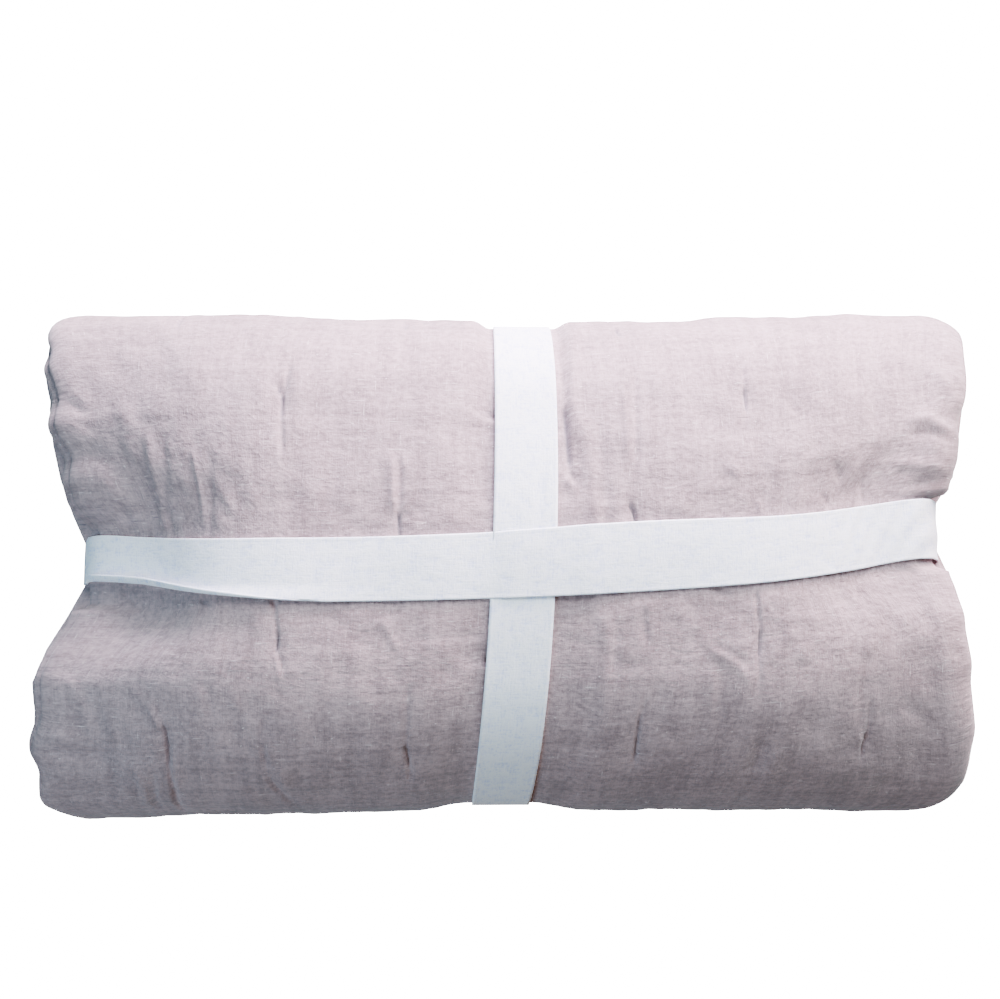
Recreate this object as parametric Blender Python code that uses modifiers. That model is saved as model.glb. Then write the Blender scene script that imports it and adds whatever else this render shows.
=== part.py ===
"""A padded linen quilt, folded into a bundle and tied with two flat cotton tapes.

The quilt is first folded in four across its width, into a strip four plies thick. The strip is
doubled, and the double strip is folded in three round its free end, so one wrap of cloth covers the
top, the front and the underside. The bundle lies on its back. +X runs along its long side, +Y to its
back edge and +Z up. Run with: blender --background --python part.py
"""

import math
from collections import namedtuple

import bmesh
import bpy
import numpy as np

# Driving dimensions, in metres
LENGTH = 0.615
DEPTH = 0.332
HEIGHT = 0.192
LEVELS = 6
LEVEL_GAP = 0.0022
TUCK_AT_BACK = 0.006
FREE_EDGE_REACH = 0.009
TAPE_WIDTH = 0.038
TAPE_THICKNESS = 0.001
SEAT_GAP = 0.0004

# The tacks that hold the padding, in staggered rows across the cloth
TACK_COLUMN_PITCH = 0.1415
TACK_ROW_PITCH = 0.073
TACK_ROW_SHIFT = -0.028
TACK_ROWS = range(-3, 4)
TACK_DENT = 0.006
ON_COLUMN = 0.02

# How the two tapes draw the bundle in
TAPE_BED_HALF = 0.0215
WAIST_AT_FRONT = 0.005
WAIST_AT_FRONT_FADE = 0.034
WAIST_AT_BACK = 0.005
WAIST_AT_BACK_FADE = 0.012
GROOVE_LENGTHWISE = 0.001
GROOVE_LENGTHWISE_AT_ENDS = 0.006
GROOVE_LENGTHWISE_FADE = 0.045
GROOVE_CROSSWISE = 0.007
GROOVE_CROSSWISE_FADE = 0.040
GROOVE_UNDER = 0.0036
GROOVE_UNDER_FADE = 0.026
SHIFT_LENGTHWISE = -0.0103
SLANT_LENGTHWISE = 0.039
BOW_LENGTHWISE = 0.14
SHIFT_CROSSWISE = 0.014
SLANT_CROSSWISE = 0.043
BOW_CROSSWISE = 0.26

# How the soft stack settles
CROWN_FALL = 0.24
SAG = 0.34
END_FALL = 0.13
END_FALL_START = 0.35
END_ROUNDING = 0.023
END_DRAW_START = 0.12
STEEPEST_CORNER = 0.97

# A slow wave that keeps the top from being even: height in metres, then rates in radians a metre
UNEVEN_TOP = {"height": 0.0022, "rate_x": 19.0, "start_x": 1.0, "rate_y": 23.0, "start_y": -0.6}

# The bundle's four quarters, by the end and the edge they lie toward: how far the lengthwise tape
# draws the end in, over what distance that fades, the corner's radius, how much further the corner
# reaches than the end's middle, and the flare of the edge
QUARTERS = (
    {"end": -1, "edge": -1, "waist": 0.034, "fade": 0.050, "corner": 0.017, "reach": -0.010, "flare": 0.0080},
    {"end": -1, "edge": 1, "waist": 0.034, "fade": 0.080, "corner": 0.015, "reach": 0.002, "flare": 0.0135},
    {"end": 1, "edge": -1, "waist": 0.0225, "fade": 0.034, "corner": 0.023, "reach": -0.001, "flare": 0.0010},
    {"end": 1, "edge": 1, "waist": 0.0225, "fade": 0.043, "corner": 0.017, "reach": 0.010, "flare": 0.0095},
)

HALF_LENGTH = LENGTH / 2
HALF_DEPTH = DEPTH / 2
LEVEL_PITCH = HEIGHT / LEVELS
HALF_STRIP = (LEVEL_PITCH - LEVEL_GAP) / 2
TOP_LEVEL = LEVELS - 1

# The strip's turns, in order along the cloth. Levels count from the underside. The edge is -1 at the
# front and 1 at the back. The nest is the radius, in level pitches, of the widest turn on the same
# centre. The outside is 1 where the face that covers the bundle is on the turn's outside, and -1
# where it is on the inside.
TURNS = (
    {"leaves": 2, "reaches": 5, "edge": 1, "nest": 1.5, "tuck": 0.0, "outside": 1, "steps": 8},
    {"leaves": 5, "reaches": 0, "edge": -1, "nest": 2.5, "tuck": 0.0, "outside": 1, "steps": 12},
    {"leaves": 0, "reaches": 1, "edge": 1, "nest": 0.5, "tuck": TUCK_AT_BACK, "outside": 1, "steps": 6},
    {"leaves": 1, "reaches": 4, "edge": -1, "nest": 2.5, "tuck": 0.0, "outside": -1, "steps": 6},
    {"leaves": 4, "reaches": 3, "edge": 1, "nest": 1.5, "tuck": 0.0, "outside": -1, "steps": 4},
)
OVER_BACK, OVER_FRONT, UNDER_BACK = TURNS[:3]
OUTER_RUN_STEP = TACK_ROW_PITCH / 3
INNER_RUN_STEP = TACK_ROW_PITCH / 1.6
BED_MARK_ROOM = 0.006

# The rounded ends of the strip: how far in from the end, and the share of the full thickness there
END_ROUND = (
    {"inset": 0.0, "share": 0.30},
    {"inset": 0.003, "share": 0.66},
    {"inset": 0.008, "share": 0.90},
    {"inset": 0.015, "share": 1.0},
)

# A place on the strip's middle line in the YZ plane, and the way its covering face looks
Stop = namedtuple("Stop", "y z out_y out_z")


def level_height(level):
    return LEVEL_PITCH * (level + 0.5)


def turn_centre(turn):
    y = turn["edge"] * (HALF_DEPTH - turn["nest"] * LEVEL_PITCH - HALF_STRIP - turn["tuck"])
    z = (level_height(turn["leaves"]) + level_height(turn["reaches"])) / 2
    return y, z


def turn_stops(turn):
    """The strip's middle line round one turn, without its last place."""
    rise = turn["reaches"] - turn["leaves"]
    centre_y, centre_z = turn_centre(turn)
    radius = abs(rise) * LEVEL_PITCH / 2
    stops = []
    for step in range(turn["steps"]):
        angle = math.pi * (step / turn["steps"] - 0.5) * math.copysign(1, rise)
        reach_y, reach_z = turn["edge"] * math.cos(angle), math.sin(angle)
        outside = turn["outside"]
        point = (centre_y + radius * reach_y, centre_z + radius * reach_z)
        stops.append(Stop(*point, outside * reach_y, outside * reach_z))
    return stops


def run_stops(level, start, end):
    """The strip's middle line along one flat run, with stops at the tape's bed, without its last."""
    step_length = OUTER_RUN_STEP if level in (0, TOP_LEVEL) else INNER_RUN_STEP
    steps = round(abs(end - start) / step_length)
    bed_marks = (-TAPE_BED_HALF, 0.0, TAPE_BED_HALF)
    places = [start + (end - start) * step / steps for step in range(steps)]
    clear = [place for place in places if min(abs(place - mark) for mark in bed_marks) > BED_MARK_ROOM]
    ordered = sorted(clear + list(bed_marks), reverse=end < start)
    facing = 1 if end < start else -1
    return [Stop(place, level_height(level), 0.0, facing) for place in ordered]


def section_stops():
    """The folded strip's middle line, from one hem to the other."""
    free_edge = turn_centre(OVER_FRONT)[0] - FREE_EDGE_REACH
    stops = []
    start = free_edge
    for turn in TURNS:
        centre_y, _ = turn_centre(turn)
        stops += run_stops(turn["leaves"], start, centre_y) + turn_stops(turn)
        start = centre_y
    last_level = TURNS[-1]["reaches"]
    stops += run_stops(last_level, start, free_edge)
    stops.append(Stop(free_edge, level_height(last_level), 0.0, 1))
    return stops


def length_stations():
    """Stations along +X: rounded ends, the crosswise tape's bed, and two between tack columns."""
    step = TACK_COLUMN_PITCH / 6
    inner = HALF_LENGTH - END_ROUND[-1]["inset"] - step / 2
    half = [TAPE_BED_HALF] + [step * count for count in range(2, int(inner / step) + 1)]
    half += [HALF_LENGTH - row["inset"] for row in reversed(END_ROUND)]
    return [-place for place in reversed(half)] + [0.0] + half


def ease(value):
    """0 to 1 with soft ends."""
    value = np.clip(value, 0.0, 1.0)
    return value * value * (3 - 2 * value)


def bed(distance, fade):
    """1 over a tape's flat bed, fading to 0 on either side."""
    return 1 - ease((np.abs(distance) - TAPE_BED_HALF) / fade)


def quarter_value(name, x, y):
    """A value of QUARTERS for each point, by the end and the edge that it lies toward."""
    values = {(row["end"], row["edge"]): row[name] for row in QUARTERS}
    left = np.where(y > 0, values[-1, 1], values[-1, -1])
    right = np.where(y > 0, values[1, 1], values[1, -1])
    return np.where(x > 0, right, left)


def settle(points):
    """Moves points of the square-folded stack to where the tied, settled bundle holds them.

    The shares below run from 0 to 1: along the bundle from its middle to its ends, across it from its
    middle to its front and back, and up it from its underside to its top.
    """
    x, y, z = points.T
    along = np.abs(x) / HALF_LENGTH
    across = np.abs(y) / HALF_DEPTH
    up = (z - LEVEL_GAP / 2) / (HEIGHT - LEVEL_GAP)

    groove_depth = GROOVE_LENGTHWISE + GROOVE_LENGTHWISE_AT_ENDS * along**2
    groove_long = bed(y, GROOVE_LENGTHWISE_FADE) * groove_depth
    groove_cross = bed(x, GROOVE_CROSSWISE_FADE) * GROOVE_CROSSWISE
    toward_end = ease((along - END_FALL_START) / (1 - END_FALL_START))
    top = HEIGHT * (1 - CROWN_FALL * across**2) * (1 - END_FALL * toward_end**1.5)
    top -= np.hypot(groove_long, groove_cross)
    wave_x = np.sin(UNEVEN_TOP["rate_x"] * x + UNEVEN_TOP["start_x"])
    wave_y = np.cos(UNEVEN_TOP["rate_y"] * y + UNEVEN_TOP["start_y"])
    top += UNEVEN_TOP["height"] * wave_x * wave_y
    floor = GROOVE_UNDER * np.hypot(bed(x, GROOVE_UNDER_FADE), bed(y, GROOVE_UNDER_FADE))
    sunk = up - SAG * across**2 * up * (1 - up)
    settled_z = floor + (top - floor) * sunk

    corner = quarter_value("corner", x, y)
    beyond_corner = np.clip(np.abs(y) - (HALF_DEPTH - corner), 0.0, STEEPEST_CORNER * corner)
    draw = corner - np.sqrt(corner**2 - beyond_corner**2)
    draw += quarter_value("waist", x, y) * bed(y, quarter_value("fade", x, y))
    draw -= quarter_value("reach", x, y) * across**2
    draw += END_ROUNDING * np.abs(2 * up - 1) ** 3
    drawn_share = ease((np.abs(x) - END_DRAW_START) / (HALF_LENGTH - END_DRAW_START))
    settled_x = x - np.sign(x) * draw * drawn_share

    waist = np.where(
        y > 0, WAIST_AT_BACK * bed(x, WAIST_AT_BACK_FADE), WAIST_AT_FRONT * bed(x, WAIST_AT_FRONT_FADE)
    )
    flare = quarter_value("flare", x, y) * along**2
    settled_y = y + np.sign(y) * (flare - waist) * across**2

    # The tapes lie at a slight slant, and the bundle's grooves follow them
    drift_x = SHIFT_CROSSWISE + SLANT_CROSSWISE * y - BOW_CROSSWISE * y**2
    drift_y = SHIFT_LENGTHWISE + SLANT_LENGTHWISE * x + BOW_LENGTHWISE * x**2
    settled_x += drift_x * np.clip(1 - along**2, 0, 1)
    settled_y += drift_y * np.clip(1 - across**2, 0, 1)
    return np.column_stack((settled_x, settled_y, settled_z))


def sheet_object(name, rows, columns, points):
    """An open sheet of rows by columns points."""
    bm = bmesh.new()
    bmesh.ops.create_grid(bm, x_segments=columns - 1, y_segments=rows - 1, size=0.5)
    mesh = bpy.data.meshes.new(name)
    bm.to_mesh(mesh)
    bm.free()
    set_mesh_points(mesh, points)
    return bpy.data.objects.new(name, mesh)


def mesh_points(mesh):
    points = np.empty(len(mesh.vertices) * 3)
    mesh.vertices.foreach_get("co", points)
    return points.reshape(-1, 3)


def set_mesh_points(mesh, points):
    mesh.vertices.foreach_set("co", np.asarray(points, dtype=float).ravel())
    mesh.update()


def add_thickness(item, thickness):
    solid = item.modifiers.new("Thickness", "SOLIDIFY")
    solid.thickness = thickness
    solid.offset = 0.0
    return solid


def end_share(x):
    """The strip's share of its full thickness at a station."""
    insets = [row["inset"] for row in END_ROUND]
    return float(np.interp(HALF_LENGTH - abs(x), insets, [row["share"] for row in END_ROUND]))


def folded_strip(stops, stations):
    """The square-folded strip as one closed mesh: its points come in two shells of stops by stations."""
    points = [(x, stop.y, stop.z) for stop in stops for x in stations]
    sheet = sheet_object("strip", len(stops), len(stations), points)
    fullness = sheet.vertex_groups.new(name="fullness")
    for index in range(len(points)):
        fullness.add([index], end_share(stations[index % len(stations)]), "REPLACE")
    solid = add_thickness(sheet, 2 * HALF_STRIP)
    solid.vertex_group = fullness.name
    bpy.context.scene.collection.objects.link(sheet)
    evaluated = sheet.evaluated_get(bpy.context.evaluated_depsgraph_get())
    mesh = bpy.data.meshes.new_from_object(evaluated)
    bpy.data.objects.remove(sheet)
    return mesh


def cover_distances(stops):
    """Distance along the covering face from the middle of the top, positive toward the front."""
    face = [(stop.y + HALF_STRIP * stop.out_y, stop.z + HALF_STRIP * stop.out_z) for stop in stops]
    steps = [math.dist(here, there) for here, there in zip(face, face[1:])]
    distances = np.concatenate(([0.0], np.cumsum(steps)))
    return distances - distances[top_middle(stops)]


def top_middle(stops):
    return next(i for i, stop in enumerate(stops) if stop.y == 0.0 and stop.z > level_height(TOP_LEVEL - 0.5))


def tack_places(stops, stations):
    """The (stop, station) pairs where tacks draw the covering face in, clear of the tapes."""
    distances = cover_distances(stops)
    first = next(i for i, stop in enumerate(stops) if stop.out_y > 0.5)
    last = next(i for i, stop in enumerate(stops) if i > top_middle(stops) and stop.out_z < -0.5)
    places = []
    for row in TACK_ROWS:
        stop = int(np.argmin(np.abs(distances - TACK_ROW_SHIFT - row * TACK_ROW_PITCH)))
        if not first < stop < last:
            continue
        for station, x in enumerate(stations):
            column = x / TACK_COLUMN_PITCH - 0.5 * (row % 2 == 0)
            if abs(column - round(column)) < ON_COLUMN and abs(x) > TAPE_BED_HALF:
                places.append((stop, station))
    return places


def make_quilt(material):
    """The folded strip, settled and tied, with its tacks drawn in."""
    stops = section_stops()
    stations = length_stations()
    mesh = folded_strip(stops, stations)
    square = mesh_points(mesh)
    shell = len(stops) * len(stations)
    probe = top_middle(stops) * len(stations)
    cover = 0 if square[probe, 2] > square[probe + shell, 2] else shell
    settled = settle(square)
    for stop, station in tack_places(stops, stations):
        inward = np.array((0.0, -stops[stop].out_y, -stops[stop].out_z))
        settled[cover + stop * len(stations) + station] += TACK_DENT * inward
    set_mesh_points(mesh, settled)
    return finish(bpy.data.objects.new("quilt", mesh), material)


def crosswise_loop():
    """The short way round the covering face, as (y, z) places that a taut tape touches."""
    over_back, over_front, under_back = (turn_stops(turn) for turn in (OVER_BACK, OVER_FRONT, UNDER_BACK))
    back_y, front_y, under_y = (turn_centre(turn)[0] for turn in (OVER_BACK, OVER_FRONT, UNDER_BACK))
    stops = over_back[len(over_back) // 2:] + run_stops(TOP_LEVEL, back_y, front_y)
    stops += over_front + run_stops(0, front_y, under_y) + under_back[:len(under_back) // 2 + 1]
    return [(stop.y + HALF_STRIP * stop.out_y, stop.z + HALF_STRIP * stop.out_z) for stop in stops]


def lengthwise_loop(stations):
    """The long way round the bundle, as (x, z) places on the covering face and the strip's ends."""
    surface = level_height(TOP_LEVEL) + HALF_STRIP
    flat_half = HALF_LENGTH - END_ROUND[-1]["inset"] + 1e-6
    over = [(x, surface) for x in stations if abs(x) <= flat_half]
    blunt = HALF_STRIP * END_ROUND[0]["share"]
    ends = [level_height(level) + mark for level in reversed(range(LEVELS)) for mark in (blunt, -blunt)]
    down = [(HALF_LENGTH, z) for z in ends]
    corner = [(HALF_LENGTH - row["inset"], HALF_STRIP * row["share"]) for row in reversed(END_ROUND[1:-1])]
    upper = [(x, level_height(TOP_LEVEL) + z) for x, z in corner]
    lower = [(x, level_height(0) - z) for x, z in reversed(corner)]
    half = upper + down + lower
    under = [(x, HEIGHT - z) for x, z in reversed(over)]
    return over + half + under + [(-x, z) for x, z in reversed(half)]


def lifted(ring, layers):
    """A ring of cross-sections, moved off the cloth: layer 0 lies on it, layer 1 on the other tape."""
    onward = np.roll(ring, -1, axis=0) - np.roll(ring, 1, axis=0)
    sideways = ring[:, 2] - ring[:, 0]
    normals = np.cross(onward, sideways[:, None, :])
    normals /= np.linalg.norm(normals, axis=2)[:, :, None]
    outward = np.sign(((ring - ring.mean(axis=(0, 1))) * normals).sum())
    lift = SEAT_GAP + TAPE_THICKNESS / 2 + layers * (SEAT_GAP + TAPE_THICKNESS)
    return ring + outward * normals * lift[:, None, None]


def tape(name, loop, place, layers, material):
    """A closed band of tape, three points wide, laid on the settled bundle and made solid."""
    sides = (-TAPE_WIDTH / 2, 0.0, TAPE_WIDTH / 2)
    square = np.array([place(at, side) for at in loop for side in sides])
    ring = lifted(settle(square).reshape(-1, 3, 3), np.array(layers, dtype=float))
    closed = np.concatenate((ring, ring[:1]))
    band = sheet_object(name, len(closed), 3, closed)
    bm = bmesh.new()
    bm.from_mesh(band.data)
    bmesh.ops.remove_doubles(bm, verts=bm.verts, dist=0.00001)
    bmesh.ops.recalc_face_normals(bm, faces=bm.faces)
    bm.to_mesh(band.data)
    bm.free()
    add_thickness(band, TAPE_THICKNESS)
    return finish(band, material)


def make_crosswise(material):
    loop = crosswise_loop()
    return tape("tape_crosswise", loop, lambda at, side: (side, *at), [0] * len(loop), material)


def make_lengthwise(material):
    """The tape that lies over the other one where they cross, above and below."""
    loop = lengthwise_loop(length_stations())
    layers = [1 if abs(x) <= TAPE_BED_HALF else 0 for x, _ in loop]
    return tape("tape_lengthwise", loop, lambda at, side: (at[0], side, at[1]), layers, material)


def finish(item, material):
    item.data.name = item.name
    item.data.materials.append(material)
    item.data.shade_smooth()
    item.data.set_sharp_from_angle(angle=math.radians(50))
    return item


def make_material(name, colour, roughness):
    material = bpy.data.materials.new(name)
    material.use_nodes = True
    shader = material.node_tree.nodes["Principled BSDF"]
    shader.inputs["Base Color"].default_value = (*colour, 1.0)
    shader.inputs["Roughness"].default_value = roughness
    shader.inputs["Metallic"].default_value = 0.0
    return material


def stand_on_origin(pieces, quilt):
    """Holds the pieces on an empty that puts the middle of the quilt's underside at the origin."""
    points = mesh_points(quilt.data)
    middle = (points.min(axis=0) + points.max(axis=0)) / 2
    holder = bpy.data.objects.new("bundle", None)
    holder.location = (-middle[0], -middle[1], -points[:, 2].min())
    for piece in pieces:
        piece.parent = holder
    return holder


def main():
    for item in list(bpy.context.scene.objects):
        bpy.data.objects.remove(item)
    linen = make_material("washed linen", (0.60, 0.515, 0.53), 0.9)
    cotton = make_material("cotton tape", (0.86, 0.87, 0.89), 0.75)
    quilt = make_quilt(linen)
    pieces = (quilt, make_crosswise(cotton), make_lengthwise(cotton))
    bundle = bpy.data.collections.new("tied folded quilt")
    bpy.context.scene.collection.children.link(bundle)
    for item in (stand_on_origin(pieces, quilt), *pieces):
        bundle.objects.link(item)


main()
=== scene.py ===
"""The looks of a tied bundle: a padded linen quilt, folded, and the two flat cotton tapes round it.

The cloth is a strip of four plies, folded in six levels. Its covering face runs over the back, the top,
the front and the underside. A place on it is given as x, along the bundle, and as the way over the
cover, which is 0 at the middle of the top and grows toward the front. Lengths are in metres, but for
those of the tables that say millimetres.
"""

import math
from collections import namedtuple

import bpy
import numpy as np
from bpy.props import FloatProperty, FloatVectorProperty, PointerProperty
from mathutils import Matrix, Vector


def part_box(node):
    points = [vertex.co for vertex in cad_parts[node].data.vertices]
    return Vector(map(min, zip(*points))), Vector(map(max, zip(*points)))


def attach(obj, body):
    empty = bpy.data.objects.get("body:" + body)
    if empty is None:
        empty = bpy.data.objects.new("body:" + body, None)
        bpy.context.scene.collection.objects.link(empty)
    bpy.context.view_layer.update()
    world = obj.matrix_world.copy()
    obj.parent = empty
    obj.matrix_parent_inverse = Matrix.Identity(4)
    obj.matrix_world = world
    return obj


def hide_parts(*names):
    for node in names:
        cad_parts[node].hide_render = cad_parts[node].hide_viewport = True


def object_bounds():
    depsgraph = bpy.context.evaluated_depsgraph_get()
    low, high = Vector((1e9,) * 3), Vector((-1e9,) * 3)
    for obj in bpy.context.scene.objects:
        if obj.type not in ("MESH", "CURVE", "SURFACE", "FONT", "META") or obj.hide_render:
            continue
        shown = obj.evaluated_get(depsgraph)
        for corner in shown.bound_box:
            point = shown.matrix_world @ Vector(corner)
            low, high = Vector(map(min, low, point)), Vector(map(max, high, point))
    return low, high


bl_info = {
    "name": "Tied folded quilt",
    "version": (1, 0, 0),
    "blender": (4, 5, 0),
    "location": "3D View > Sidebar > Quilt",
    "description": "Makes a padded linen quilt, folded and tied with two cotton tapes",
    "category": "Add Mesh",
}

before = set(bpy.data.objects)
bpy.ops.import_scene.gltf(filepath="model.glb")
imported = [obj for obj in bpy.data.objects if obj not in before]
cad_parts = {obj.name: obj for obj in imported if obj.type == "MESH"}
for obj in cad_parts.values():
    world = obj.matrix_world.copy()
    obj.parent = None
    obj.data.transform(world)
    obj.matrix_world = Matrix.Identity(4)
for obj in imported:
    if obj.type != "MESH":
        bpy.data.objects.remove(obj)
CAD_LOW, CAD_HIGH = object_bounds()
QUILT_LOW, QUILT_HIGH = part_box("quilt")

# ---------------------------------------------------------------- sizes of the folded bundle

LENGTH = 0.615
DEPTH = 0.332
HEIGHT = 0.192
LEVELS = 6
LEVEL_GAP = 0.0022
TUCK_AT_BACK = 0.006
FREE_EDGE_REACH = 0.009
HALF_LENGTH = LENGTH / 2
HALF_DEPTH = DEPTH / 2
LEVEL_PITCH = HEIGHT / LEVELS
HALF_STRIP = (LEVEL_PITCH - LEVEL_GAP) / 2
TOP_LEVEL = LEVELS - 1
MILLIMETRES_IN_METRE = 1000

# How the two tapes draw the bundle in
TAPE_BED_HALF = 0.0215
WAIST_AT_FRONT = 0.005
WAIST_AT_FRONT_FADE = 0.034
WAIST_AT_BACK = 0.005
WAIST_AT_BACK_FADE = 0.012
GROOVE_LENGTHWISE = 0.001
GROOVE_LENGTHWISE_AT_ENDS = 0.006
GROOVE_LENGTHWISE_FADE = 0.045
GROOVE_CROSSWISE = 0.0032
GROOVE_CROSSWISE_FADE = 0.040
GROOVE_UNDER = 0.0036
GROOVE_UNDER_FADE = 0.026
SHIFT_LENGTHWISE = -0.0103
SLANT_LENGTHWISE = 0.039
BOW_LENGTHWISE = 0.14
SHIFT_CROSSWISE = 0.0156
SLANT_CROSSWISE = 0.043
BOW_CROSSWISE = 0.26

# How the soft stack settles
CROWN_FALL = 0.24
SAG = 0.34
END_FALL = 0.13
END_FALL_START = 0.35
END_ROUNDING = 0.023
END_DRAW_START = 0.12
STEEPEST_CORNER = 0.97

# A slow wave that keeps the top from being even: height in metres, then rates in radians a metre
UNEVEN_TOP = {"height": 0.0022, "rate_x": 19.0, "start_x": 1.0, "rate_y": 23.0, "start_y": -0.6}

# The bundle's four quarters, by the end and the edge they lie toward: how far the lengthwise tape
# draws the end in, over what distance that fades, the corner's radius, how much further the corner
# reaches than the end's middle, and the flare of the edge
QUARTERS = (
    {"end": -1, "edge": -1, "waist": 0.034, "fade": 0.050, "corner": 0.017, "reach": -0.010, "flare": 0.0080},
    {"end": -1, "edge": 1, "waist": 0.034, "fade": 0.080, "corner": 0.015, "reach": 0.002, "flare": 0.0135},
    {"end": 1, "edge": -1, "waist": 0.0225, "fade": 0.034, "corner": 0.023, "reach": -0.001, "flare": 0.0010},
    {"end": 1, "edge": 1, "waist": 0.0225, "fade": 0.043, "corner": 0.017, "reach": 0.010, "flare": 0.0095},
)

# How far the puffed folds of each end stand out beyond their plain form, in millimetres: rows of the
# place from the front to the back of the bundle, then how far out. These two tables weren't chosen by
# hand: a script fitted them to the real bundle's outline, and only some rows were smoothed by hand.
LEFT_END_PUFFS = (
    (-160.0, 12.5), (-140.0, 6.2), (-136.0, 6.5), (-128.0, 11.1), (-126.0, 11.1), (-116.0, 9.9),
    (-104.0, 4.3), (-72.0, 4.3), (-50.0, 12.1), (-36.0, 15.0), (-28.0, 15.0), (-26.0, 15.0),
    (-18.0, 5.0), (-12.0, 0.4), (18.0, 2.7), (34.0, 14.2), (50.0, 9.9), (66.0, -1.7), (88.0, 4.1),
    (106.0, 0.6), (132.0, 10.6), (144.0, 8.0), (154.0, 11.3), (165.0, 10.4),
)
RIGHT_END_PUFFS = (
    (-160.0, 8.3), (-150.0, 4.9), (-122.0, 2.9), (-110.0, 4.7), (-78.0, 0.5), (-68.0, 1.5),
    (-48.0, -3.2), (-40.0, -3.7), (-30.0, -0.1), (-18.0, 8.4), (0.0, 12.2), (20.0, 12.0),
    (36.0, 12.4), (46.0, 11.0), (58.0, 6.4), (68.0, -0.4), (80.0, -4.4), (88.0, -2.8), (96.0, 1.8),
    (106.0, 4.4), (118.0, 5.6), (130.0, 5.2), (142.0, 5.0), (152.0, 4.2), (158.0, 0.5),
    (165.0, -6.0),
)
# The same under the lengthwise tape, at the left and the right end, in metres
PUFF_AT_TAPE = (0.0034, 0.0002)
PUFF_AT_TAPE_FADE = 0.003
# A table is read at a few places and averaged: how far away each is, and its share
PUFF_SOFTENING = ((-0.0045, 0.15), (-0.002, 0.25), (0.0, 0.2), (0.002, 0.25), (0.0045, 0.15))
PUFF_DEPTH = 0.040
# The lower layers are tucked in below the top one, from a share of the height down
LOWER_TUCK = {"depth": 0.007, "starts_at": 0.5, "fade": 0.35}

# How the left end droops, first over its whole width and then more under the lengthwise tape
LEFT_DROOP = {"depth": 0.031, "starts_at": -0.19}
LEFT_SADDLE = {"depth": 0.009, "starts_at": -0.13, "fade": 0.075}

# The strip's turns in order along the cloth: the levels it leaves and reaches, the edge it turns at
# (-1 front, 1 back), and 1 where the covering face is on the turn's outside or -1 where it is inside
TURNS = (
    {"leaves": 2, "reaches": 5, "edge": 1, "nest": 1.5, "tuck": 0.0, "outside": 1, "pace": 0.0036},
    {"leaves": 5, "reaches": 0, "edge": -1, "nest": 2.5, "tuck": 0.0, "outside": 1, "pace": 0.0041},
    {"leaves": 0, "reaches": 1, "edge": 1, "nest": 0.5, "tuck": TUCK_AT_BACK, "outside": 1, "pace": 0.004},
    {"leaves": 1, "reaches": 4, "edge": -1, "nest": 2.5, "tuck": 0.0, "outside": -1, "pace": 0.012},
    {"leaves": 4, "reaches": 3, "edge": 1, "nest": 1.5, "tuck": 0.0, "outside": -1, "pace": 0.008},
)
OVER_BACK, OVER_FRONT, UNDER_BACK = TURNS[:3]
RUN_PACES = {TOP_LEVEL: 0.0026, 0: 0.0080}
HIDDEN_PACE = 0.022

# The folds at the strip's ends. The right end is one round fold of four plies and the left end is two
# folds of two plies each. Places and sizes across the strip are shares of its half thickness.
RIGHT_FOLDS = ({"middle": 0.0, "half": 1.0, "depth": 0.015},)
LEFT_FOLDS = ({"middle": 0.5, "half": 0.5, "depth": 0.008}, {"middle": -0.5, "half": 0.5, "depth": 0.008})

Stop = namedtuple("Stop", "y z out_y out_z")


def level_height(level):
    return LEVEL_PITCH * (level + 0.5)


def turn_centre(turn):
    y = turn["edge"] * (HALF_DEPTH - turn["nest"] * LEVEL_PITCH - HALF_STRIP - turn["tuck"])
    return y, (level_height(turn["leaves"]) + level_height(turn["reaches"])) / 2


def turn_stops(turn):
    """The strip's middle line round one turn, without its last place."""
    rise = turn["reaches"] - turn["leaves"]
    centre_y, centre_z = turn_centre(turn)
    radius = abs(rise) * LEVEL_PITCH / 2
    steps = 2 * math.ceil(math.pi * (radius + HALF_STRIP) / turn["pace"] / 2)
    stops = []
    for step in range(steps):
        angle = math.pi * (step / steps - 0.5) * math.copysign(1, rise)
        reach_y, reach_z = turn["edge"] * math.cos(angle), math.sin(angle)
        outside = turn["outside"]
        point = (centre_y + radius * reach_y, centre_z + radius * reach_z)
        stops.append(Stop(*point, outside * reach_y, outside * reach_z))
    return stops


def run_stops(level, start, end):
    """The strip's middle line along one flat run, without its last place."""
    steps = math.ceil(abs(end - start) / RUN_PACES.get(level, HIDDEN_PACE))
    facing = 1 if end < start else -1
    places = [start + (end - start) * step / steps for step in range(steps)]
    return [Stop(place, level_height(level), 0.0, facing) for place in places]


def section_stops():
    """The folded strip's middle line, from one hem to the other."""
    free_edge = turn_centre(OVER_FRONT)[0] - FREE_EDGE_REACH
    stops = []
    start = free_edge
    for turn in TURNS:
        centre_y, _ = turn_centre(turn)
        stops += run_stops(turn["leaves"], start, centre_y) + turn_stops(turn)
        start = centre_y
    last_level = TURNS[-1]["reaches"]
    stops += run_stops(last_level, start, free_edge)
    stops.append(Stop(free_edge, level_height(last_level), 0.0, 1))
    return stops


def ease(value):
    """0 to 1 with soft ends."""
    value = np.clip(value, 0.0, 1.0)
    return value * value * (3 - 2 * value)


def rise(value, step):
    """0 before the start of a step, 1 beyond its fade."""
    return ease((value - step["starts_at"]) / step["fade"])


def hump(value, middle, half):
    """A smooth hump, 1 at its middle."""
    return np.exp(-(((value - middle) / half) ** 2))


def bed(distance, fade):
    """1 over a tape's flat bed, fading to 0 on either side."""
    return 1 - ease((np.abs(distance) - TAPE_BED_HALF) / fade)


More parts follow.
